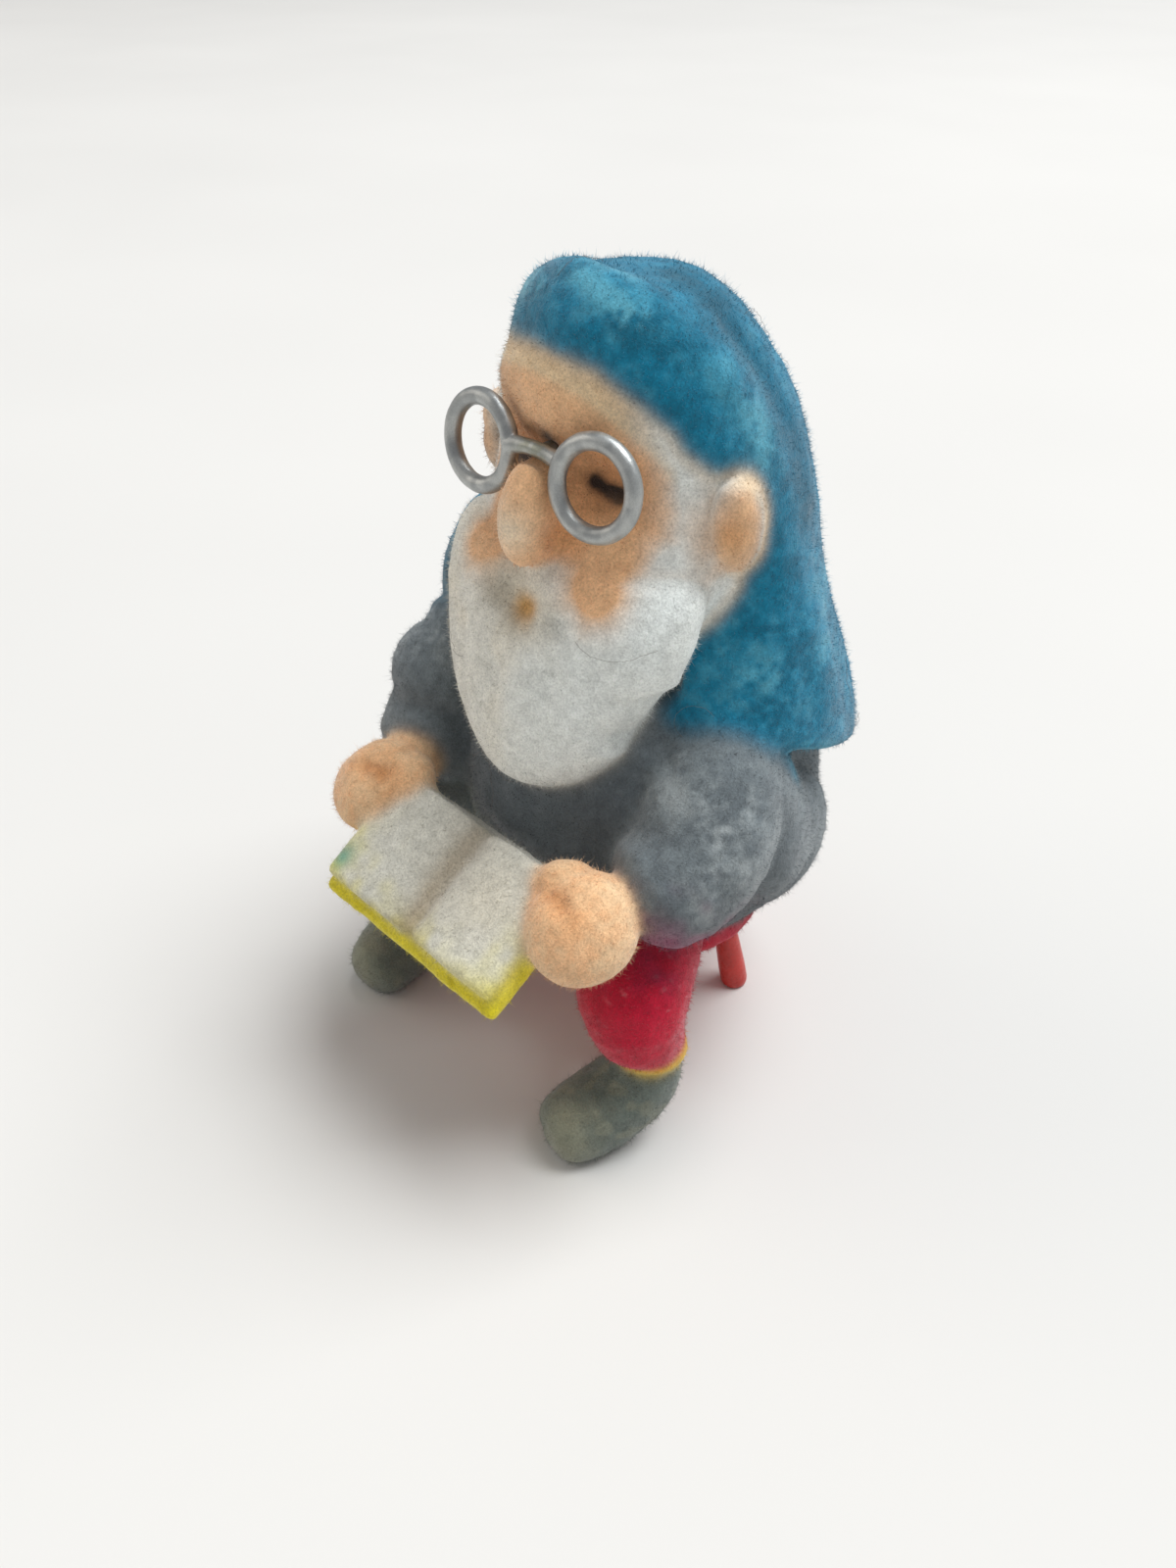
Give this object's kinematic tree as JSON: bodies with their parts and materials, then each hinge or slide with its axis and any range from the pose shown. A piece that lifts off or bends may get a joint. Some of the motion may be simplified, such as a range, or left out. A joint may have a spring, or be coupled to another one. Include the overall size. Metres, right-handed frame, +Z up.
{
  "type": "flocked gnome figurine on a stool",
  "caption": "Small flocked figurine of a seated bearded gnome in a hood and round wire spectacles, reading an open book, on a short round-legged stool.",
  "frame": {"origin": "middle of the footprint box, on the surface that the boots and the stool stand on", "axes": "+Z up; the gnome faces -Y; its left hand is at +X"},
  "size_m": [0.0441, 0.05, 0.0749],
  "materials": {
    "hood_blue": "flocked, teal blue, worn paler on the high places",
    "skin": "flocked, peach, airbrushed darker in the hollows",
    "beard_white": "flocked, off-white",
    "jacket_grey": "flocked, blue-grey",
    "trouser_red": "flocked, crimson",
    "cuff_yellow": "flocked, yellow",
    "boot_grey": "flocked, green-grey",
    "paper_white": "flocked, off-white",
    "cover_yellow": "flocked, lemon yellow",
    "stool_red": "smooth, glossy, bare of flock",
    "dowel_wood": "plain turned wood",
    "silver": "satin silver paint, a little worn"
  },
  "bodies": {
    "root": {"beard": "beard_white", "book_cover": "cover_yellow", "boot_left": "boot_grey", "boot_right": "boot_grey", "cuff_left": "cuff_yellow", "cuff_right": "cuff_yellow", "hand_left": "skin", "hand_right": "skin", "head": "skin", "hood": "hood_blue", "jacket_back": "jacket_grey", "jacket_front": "jacket_grey", "pages_left": "paper_white", "pages_right": "paper_white", "seat_dowel": "dowel_wood", "sleeve_left": "jacket_grey", "sleeve_right": "jacket_grey", "spectacles": "silver", "stool_leg_front_left": "stool_red", "stool_leg_front_right": "stool_red", "stool_leg_rear_left": "stool_red", "stool_leg_rear_right": "stool_red", "stool_seat": "stool_red", "trouser_leg_left": "trouser_red", "trouser_leg_right": "trouser_red", "trousers_seat": "trouser_red"}
  },
  "joints": []
}
